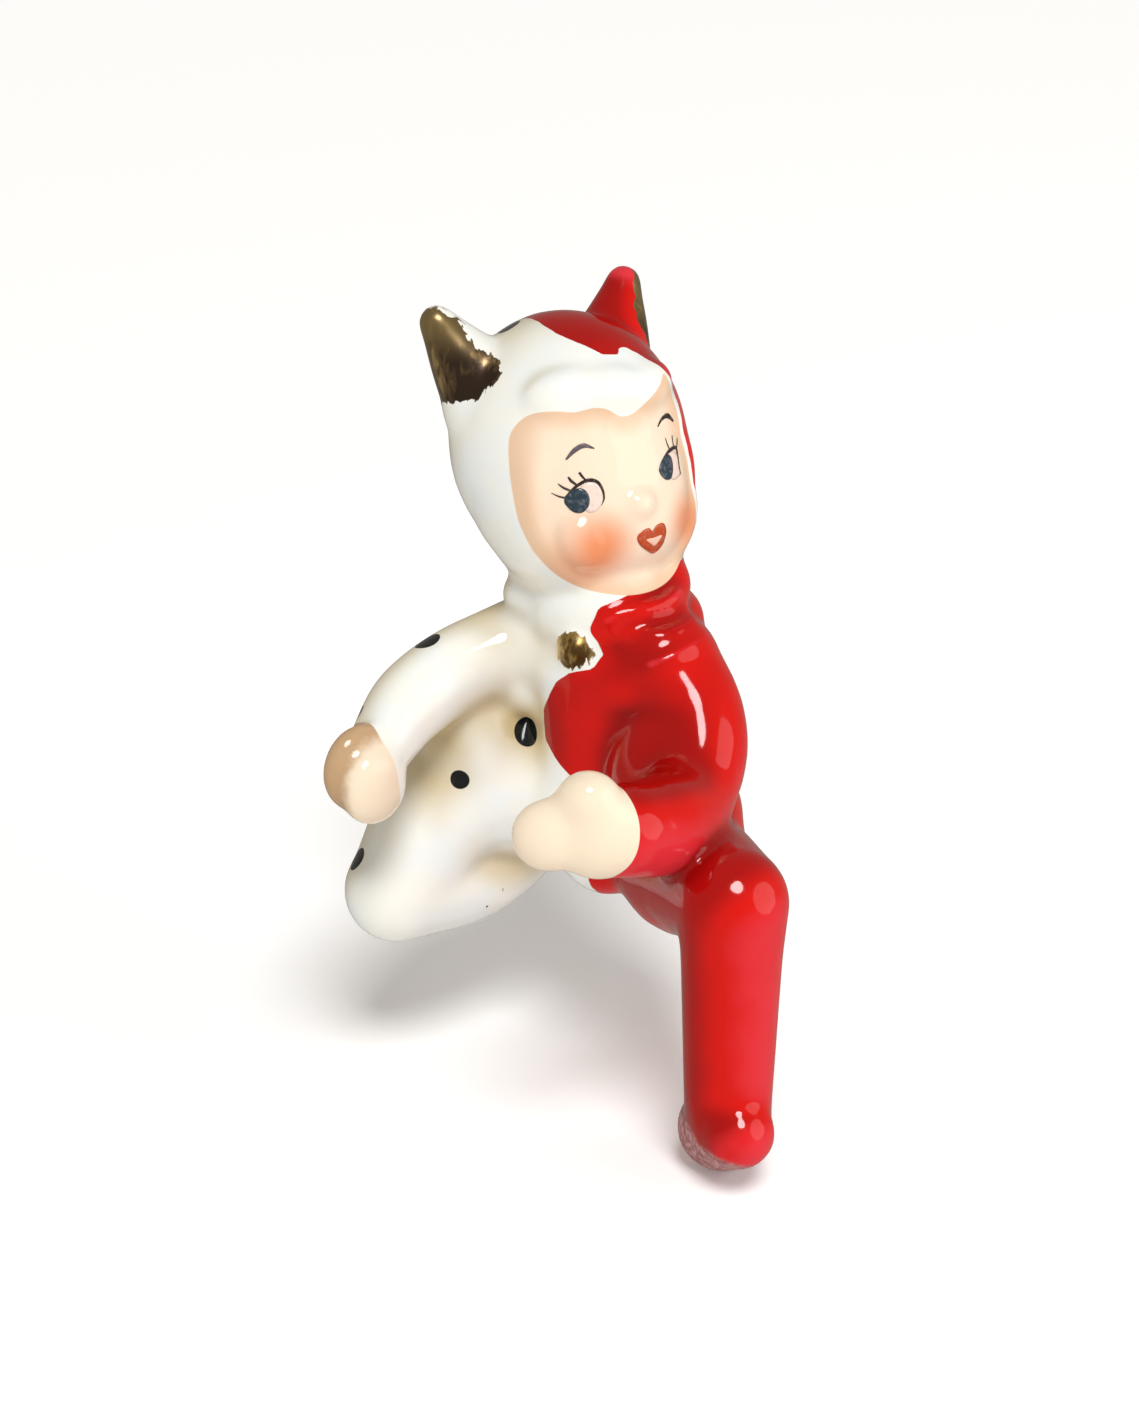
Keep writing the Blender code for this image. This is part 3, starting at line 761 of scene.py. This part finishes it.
def goldColour(tree, place, streaks, height):
    broad = noise(tree, place, gold["broadSize"], 2.0)
    tone = mathNode(tree, "ADD", partOf(tree, streaks, 0.5), partOf(tree, broad, 0.5))
    horn = blend(tree, ramp(tree, tone, *gold["colourWhere"]), gold["dark"], gold["colour"])
    # Lighter toward the horn tips: a painted highlight
    tipHighlight = partOf(tree, ramp(tree, height, *gold["tipHighlightWhere"]), gold["tipHighlightShare"])
    bright = mathNode(tree, "MAXIMUM", ramp(tree, tone, *gold["brightWhere"]), tipHighlight)
    horn = blend(tree, bright, horn, gold["bright"])
    button = blend(tree, ramp(tree, tone, *gold["buttonWhere"]), gold["buttonDark"], gold["button"])
    button = blend(tree, ramp(tree, tone, *gold["buttonBrightWhere"]), button, gold["buttonBright"])
    return blend(tree, ramp(tree, height, *gold["hornsAbove"]), button, horn)


# Bare biscuit under the foot, dull and gritty, with red rubbed into it
biscuit = {
    "colour": "#c79390",
    "dark": "#965f5e",
    "gritSize": 0.7 * mm,
    "gritRoughness": 0.7,
    "gritDepth": 0.35 * mm,
    "colourWhere": (0.4, 0.62),
    "borderUnevenness": 3.0,
    "borderWhere": (-0.7, 0.5),
    "dullness": 0.6,
}


def glazedPorcelain():
    made, tree = newMaterial("glazedPorcelain")
    place = addNode(tree, "TexCoord").outputs["Object"]
    onFace = headMapping(tree, place)
    height = addNode(tree, "SeparateXYZ", {}, {"Vector": onFace}).outputs["Z"]
    # Painted shade wherever other parts of the figure close over the surface
    coveredShade = fieldNode(tree, "coveredShade")
    mottle = noise(tree, place, glaze["mottleSize"], 2.0)
    brush = eitherWay(tree, noise(tree, place, glaze["wobbleSize"], 3.0), glaze["wobbleWidth"])
    streaks = noise(tree, stretched(tree, place), gold["hairSize"], 4.0, Distortion=gold["hairDistortion"])
    grit = noise(tree, place, biscuit["gritSize"], 5.0, Roughness=biscuit["gritRoughness"])

    # Where each paint lies
    border = glaze["paintBorder"]
    redMask = ramp(tree, mathNode(tree, "ADD", fieldNode(tree, "redGlaze"), brush), *border)
    skinMask = ramp(tree, fieldNode(tree, "skinColour"), *border)
    dotMask = ramp(tree, fieldNode(tree, "blackDots"), *border)
    dryHairs = eitherWay(tree, streaks, gold["dryBorder"])
    goldMask = ramp(tree, mathNode(tree, "ADD", fieldNode(tree, "goldLustre"), dryHairs), *border)
    bareBorder = eitherWay(tree, mottle, biscuit["borderUnevenness"])
    bareEdge = mathNode(tree, "ADD", fieldNode(tree, "bareSole"), bareBorder)
    bareMask = ramp(tree, bareEdge, *biscuit["borderWhere"])

    # One over the other, in the order in which they were laid on
    colour = blend(tree, redMask, whiteColour(tree, coveredShade, mottle), redColour(tree, coveredShade, mottle))
    colour = blend(tree, skinMask, colour, fleshColour(tree, place, coveredShade, onFace, height))
    colour = blend(tree, dotMask, colour, glaze["black"])
    colour = blend(tree, goldMask, colour, goldColour(tree, place, streaks, height))
    bare = blend(tree, ramp(tree, grit, *biscuit["colourWhere"]), biscuit["dark"], biscuit["colour"])
    colour = blend(tree, bareMask, colour, bare)

    # Shine: wet glaze, satin lustre, dull sole
    spans = {"To Min": glaze["roughness"], "To Max": gold["roughness"]}
    rough = addNode(tree, "MapRange", spans, {"Value": goldMask})
    rough = mathNode(tree, "ADD", rough, partOf(tree, bareMask, biscuit["dullness"]))
    ripple = noise(tree, place, glaze["rippleSize"], 1.0)
    relief = raised(tree, ripple, glaze["rippleDepth"])
    relief = raised(tree, redMask, glaze["paintDepth"], relief)
    relief = raised(tree, mathNode(tree, "MULTIPLY", grit, bareMask), biscuit["gritDepth"], relief)
    metal = partOf(tree, goldMask, gold["metal"])

    shader = addNode(
        tree, "BsdfPrincipled", {"IOR": glaze["ior"], "Specular IOR Level": glaze["shine"]},
        {"Base Color": colour, "Metallic": metal, "Roughness": rough, "Normal": relief},
    )
    addNode(tree, "OutputMaterial", {}, {"Surface": shader})
    return made


def raised(tree, pattern, depth, under=None):
    links = {"Height": pattern}
    if under is not None:
        links["Normal"] = under
    return addNode(tree, "Bump", {"Strength": 1.0, "Distance": depth}, links)


def stretched(tree, place):
    # Brush hairs run along the horn
    settings = {"Rotation": headAxes.to_euler(), "Scale": (1, 1, gold["hairStretch"])}
    return addNode(tree, "Mapping", settings, {"Vector": place})


def headMapping(tree, place):
    # The head's own axes, in metres, from the figure's
    return addNode(
        tree, "Mapping",
        {"vector_type": "TEXTURE", "Location": headAxes.translation, "Rotation": headAxes.to_euler()},
        {"Vector": place},
    )


# Face painted over the glaze: each stroke follows points (x, z) in the face's plane and has a width at each
strokes = {
    "lid_and_lashes": {"colour": "#2b211d", "lines": [
        (
            [
                (-7.8, -3.7), (-6.7, -2.7), (-5.4, -2.2), (-4.5, -2.6), (-4.1, -3.5), (-4.1, -4.5),
                (-4.5, -5.2),
            ],
            [0.12, 0.3, 0.42, 0.38, 0.24, 0.2, 0.06],
        ),
        (
            [(4.4, -1.6), (5.8, -1.0), (7.3, -0.9), (7.3, -1.9), (7.2, -3.1), (7.4, -4.0)],
            [0.12, 0.4, 0.42, 0.3, 0.28, 0.1],
        ),
        ([(-8.9, -3.0), (-8.3, -3.5), (-7.7, -3.8)], [0.05, 0.16, 0.22]),
        ([(-8.2, -2.1), (-7.8, -2.6), (-7.3, -3.0)], [0.1, 0.24, 0.24]),
        ([(-7.2, -1.5), (-7.0, -2.0), (-6.6, -2.5)], [0.16, 0.3, 0.2]),
        ([(-6.1, -1.2), (-5.9, -1.7), (-5.6, -2.2)], [0.26, 0.24, 0.14]),
        ([(5.7, 0.5), (5.75, -0.2), (5.9, -0.8)], [0.08, 0.18, 0.2]),
        ([(7.2, 0.5), (7.0, -0.1), (6.9, -0.8)], [0.14, 0.18, 0.2]),
        ([(8.2, 0.0), (7.9, -0.5), (7.5, -1.0)], [0.14, 0.18, 0.16]),
    ]},
    "right_brow": {"colour": "#5d5358", "lines": [
        ([(-7.0, 0.4), (-6.0, 1.25), (-5.0, 1.6), (-4.0, 1.1)], [0.18, 0.5, 0.55, 0.14]),
    ]},
    "left_brow": {"colour": "#2a201c", "lines": [
        ([(4.8, 1.9), (5.8, 2.6), (6.9, 2.8), (7.9, 2.0)], [0.12, 0.34, 0.6, 0.2]),
    ]},
}
# Filled shapes of the painted face, as closed outlines in the face's plane
fills = {
    "eye_whites": {"colour": "#ecd3c6", "lift": 0.02, "outlines": [
        [(-6.2, -2.7), (-5.0, -2.5), (-4.4, -3.1), (-4.2, -4.3), (-4.6, -5.3), (-5.5, -5.8), (-6.2, -5.3)],
        [(5.3, -1.5), (6.6, -1.2), (7.2, -1.8), (7.1, -3.0), (7.1, -4.0), (5.8, -4.3), (5.2, -3.8)],
    ]},
    "pupils": {"colour": "#2a3945", "lift": 0.035, "outlines": [
        [
            (-7.9, -4.0), (-7.3, -3.2), (-6.5, -2.9), (-5.8, -3.3), (-5.55, -4.2), (-5.8, -5.1),
            (-6.5, -5.65), (-7.2, -5.5), (-7.7, -4.8),
        ],
        [
            (3.4, -2.6), (4.2, -1.7), (5.3, -1.3), (5.9, -1.9), (5.8, -3.1), (5.2, -4.0), (4.3, -4.0),
            (3.6, -3.4),
        ],
    ]},
    "lips": {"colour": "#b9481c", "lift": 0.02, "outlines": [
        [
            (-0.95, -9.5), (-0.3, -8.9), (0.6, -8.75), (1.1, -9.15), (1.7, -8.65), (2.7, -8.6), (3.2, -9.4),
            (3.1, -10.5), (2.6, -11.4), (1.6, -11.9), (0.3, -11.2), (-0.6, -10.4),
        ],
    ]},
    "mouth_gap": {"colour": "#f3c6ad", "lift": 0.035, "outlines": [
        [(0.3, -10.0), (1.3, -10.0), (2.5, -9.95), (2.1, -10.6), (1.5, -10.95), (0.8, -10.5)],
    ]},
}
brushwork = {
    "reach": 20 * mm,
    "thickness": 0.03 * mm,
    "strokeLift": 0.05,
    "stepsAlong": 24,
    "stepsAcross": 4,
    "ringShares": (0.75, 0.6, 0.4),
}


def pressOntoFace(piece, figure, lift):
    # The flat stroke, drawn in front of the face in the head's axes, is pressed onto the glaze
    piece.matrix_world = headAxes
    finishWith(
        piece, "SHRINKWRAP", target=figure, wrap_method="PROJECT", use_project_y=True,
        use_positive_direction=True, use_negative_direction=False, offset=lift * mm,
        wrap_mode="ABOVE_SURFACE",
    )
    finishWith(piece, "SOLIDIFY", thickness=brushwork["thickness"], offset=-1.0)
    settle(piece)


def spread(values, t):
    return np.interp(t, np.linspace(0, 1, len(values)), values)


def brushStroke(points, widths):
    # A grid bent so that it follows the stroke, as wide as the brush was pressed
    along, across = brushwork["stepsAlong"], brushwork["stepsAcross"]
    bpy.ops.mesh.primitive_grid_add(x_subdivisions=along, y_subdivisions=across, size=1)
    piece = bpy.context.object
    route = openLine(points)
    ahead = np.gradient(route, axis=0)
    for vertex in piece.data.vertices:
        t = vertex.co.x + 0.5
        x, z = (spread(route[:, k], t) for k in (0, 1))
        dx, dz = (spread(ahead[:, k], t) for k in (0, 1))
        length = math.hypot(dx, dz)
        offset = vertex.co.y * spread(widths, t)
        vertex.co = ((x - dz / length * offset) * mm, -brushwork["reach"], (z + dx / length * offset) * mm)
    return piece


def openLine(points, steps=8):
    first = 2 * np.array(points[0]) - np.array(points[1])
    last = 2 * np.array(points[-1]) - np.array(points[-2])
    line = [first, *map(np.array, points), last]
    made = []
    for a, b, c, d in zip(line, line[1:], line[2:], line[3:]):
        for t in np.linspace(0, 1, steps, endpoint=False):
            made.append(softPoint(a, b, c, d, t))
    made.append(line[-2])
    return np.array(made)


def filledShape(outline):
    # Rings of a disc drawn in to the outline's middle
    around = np.array(smoothOutline(outline, 5))
    middle = around.mean(axis=0)
    bpy.ops.mesh.primitive_circle_add(vertices=len(around), radius=1, fill_type="NGON")
    piece = bpy.context.object
    for vertex, (x, z) in zip(piece.data.vertices, around):
        vertex.co = (x * mm, -brushwork["reach"], z * mm)
    bpy.ops.object.mode_set(mode="EDIT")
    bpy.ops.mesh.select_all(action="SELECT")
    centre = (middle[0] * mm, 0, middle[1] * mm)
    for share in brushwork["ringShares"]:
        bpy.ops.mesh.inset(thickness=0)
        bpy.ops.transform.resize(value=(share, 1, share), center_override=centre)
    bpy.ops.mesh.poke()
    bpy.ops.object.mode_set(mode="OBJECT")
    return piece


# China paint fired over the glaze: nearly as shiny as the glaze, and thinner and paler in places
chinaPaint = {
    "grain": 0.5 * mm,
    "thinWhere": (0.45, 0.75),
    "thinShare": 0.72,
    "thinLift": 0.1,
    "roughness": 0.14,
    "ior": 1.5,
}


def enamel(name, colour):
    made, tree = newMaterial(name)
    place = addNode(tree, "TexCoord").outputs["Object"]
    uneven = noise(tree, place, chinaPaint["grain"], 3.0)
    deep = linear(colour)
    thin = [c * chinaPaint["thinShare"] + chinaPaint["thinLift"] for c in deep[:3]]
    mix = addNode(tree, "Mix", {"data_type": "RGBA"})
    tree.links.new(ramp(tree, uneven, *chinaPaint["thinWhere"]).outputs[0], mix.inputs[0])
    mix.inputs[6].default_value = deep
    mix.inputs[7].default_value = (*thin, 1)
    shader = addNode(tree, "BsdfPrincipled", {"Roughness": chinaPaint["roughness"], "IOR": chinaPaint["ior"]})
    tree.links.new(mix.outputs[2], shader.inputs["Base Color"])
    addNode(tree, "OutputMaterial", {}, {"Surface": shader})
    return made


def paintFace(figure):
    made = []
    for name, stroke in strokes.items():
        pieces = [brushStroke(points, widths) for points, widths in stroke["lines"]]
        made.append((name, stroke["colour"], pieces, brushwork["strokeLift"]))
    for name, fill in fills.items():
        pieces = [filledShape(outline) for outline in fill["outlines"]]
        made.append((name, fill["colour"], pieces, fill["lift"]))
    painted = []
    for name, colour, pieces, lift in made:
        piece = pieces[0]
        joinInto(piece, pieces[1:])
        piece.name = name
        pressOntoFace(piece, figure, lift)
        piece.data.materials.clear()
        piece.data.materials.append(enamel(name + "_enamel", colour))
        pickOnly(piece)
        bpy.ops.object.shade_smooth()
        painted.append(piece)
    return painted


# Studio: pale floor, one soft lamp above, a broad one to the right and a weak one low in front, in a dim room
studio = {
    "floorColour": "#fefefe",
    "floorWidth": 4,
    "floorGlow": 0.09,
    "roomColour": "#fff8ee",
    "roomLight": 0.28,
    "lookAt": (0, 15, 5),
    "overhead": {"azimuth": 46, "elevation": 58, "spread": 22, "strength": 2.25},
    "lamps": [
        {"name": "right_side", "azimuth": 105, "elevation": 16, "distance": 0.5, "size": 0.5, "power": 0.9,
         "inShine": True},
        {"name": "low_front", "azimuth": -5, "elevation": 10, "distance": 0.6, "size": 0.2, "power": 0.4,
         "inShine": False},
    ],
}


def paleFloor():
    bpy.ops.mesh.primitive_grid_add(size=studio["floorWidth"], location=(0, 0, cadBox[0][2]))
    floor = bpy.context.object
    floor.name = "pale_floor"
    settle(floor)
    made, tree = newMaterial("matt_paper")
    pale = linear(studio["floorColour"])
    shader = addNode(tree, "BsdfPrincipled", {
        "Base Color": pale, "Roughness": 1.0, "Specular IOR Level": 0.0,
        "Emission Color": pale, "Emission Strength": studio["floorGlow"],
    })
    addNode(tree, "OutputMaterial", {}, {"Surface": shader})
    floor.data.materials.append(made)
    # The figure's shine shows the dim room and not the floor, as it does over a dark table
    floor.visible_glossy = False
    floor.visible_shadow = False


def lightStudio():
    target = Vector(studio["lookAt"]) * mm
    above = studio["overhead"]
    bpy.ops.object.light_add(type="SUN")
    light = bpy.context.object
    light.name = "overhead"
    light.rotation_euler = wayTo(above["azimuth"], above["elevation"]).to_track_quat("Z", "Y").to_euler()
    light.data.angle = math.radians(above["spread"])
    light.data.energy = above["strength"]
    for lamp in studio["lamps"]:
        back = wayTo(lamp["azimuth"], lamp["elevation"])
        bpy.ops.object.light_add(type="AREA", location=target + back * lamp["distance"])
        light = bpy.context.object
        light.name = lamp["name"]
        light.rotation_euler = back.to_track_quat("Z", "Y").to_euler()
        light.data.shape = "DISK"
        light.data.size = lamp["size"]
        light.data.energy = lamp["power"]
        light.visible_glossy = lamp["inShine"]
    world = bpy.data.worlds.new("pale_room")
    bpy.context.scene.world = world
    world.use_nodes = True
    tree = world.node_tree
    tree.nodes.clear()
    rays = addNode(tree, "LightPath")
    shown = mathNode(tree, "MAXIMUM", rays.outputs["Is Camera Ray"], rays.outputs["Is Transmission Ray"])
    dim = {"Color": linear(studio["roomColour"]), "Strength": studio["roomLight"]}
    lighting = addNode(tree, "Background", dim)
    seen = addNode(tree, "Background", {"Color": (1, 1, 1, 1), "Strength": 1.0})
    mix = addNode(tree, "MixShader", {}, {0: shown, 1: lighting, 2: seen})
    addNode(tree, "OutputWorld", {}, {"Surface": mix})


placeCamera()
figure = makeFigure()
print("figure formed,", len(figure.data.polygons), "faces")
storePaint(figure)
print("paint laid out")
figure.data.materials.append(glazedPorcelain())
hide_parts("figure")
facePaint = paintFace(figure)
for piece in [figure, *facePaint]:
    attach(piece, "root")
print("face painted")
paleFloor()
lightStudio()
bpy.context.scene.view_settings.view_transform = "Standard"
print("studio lit")
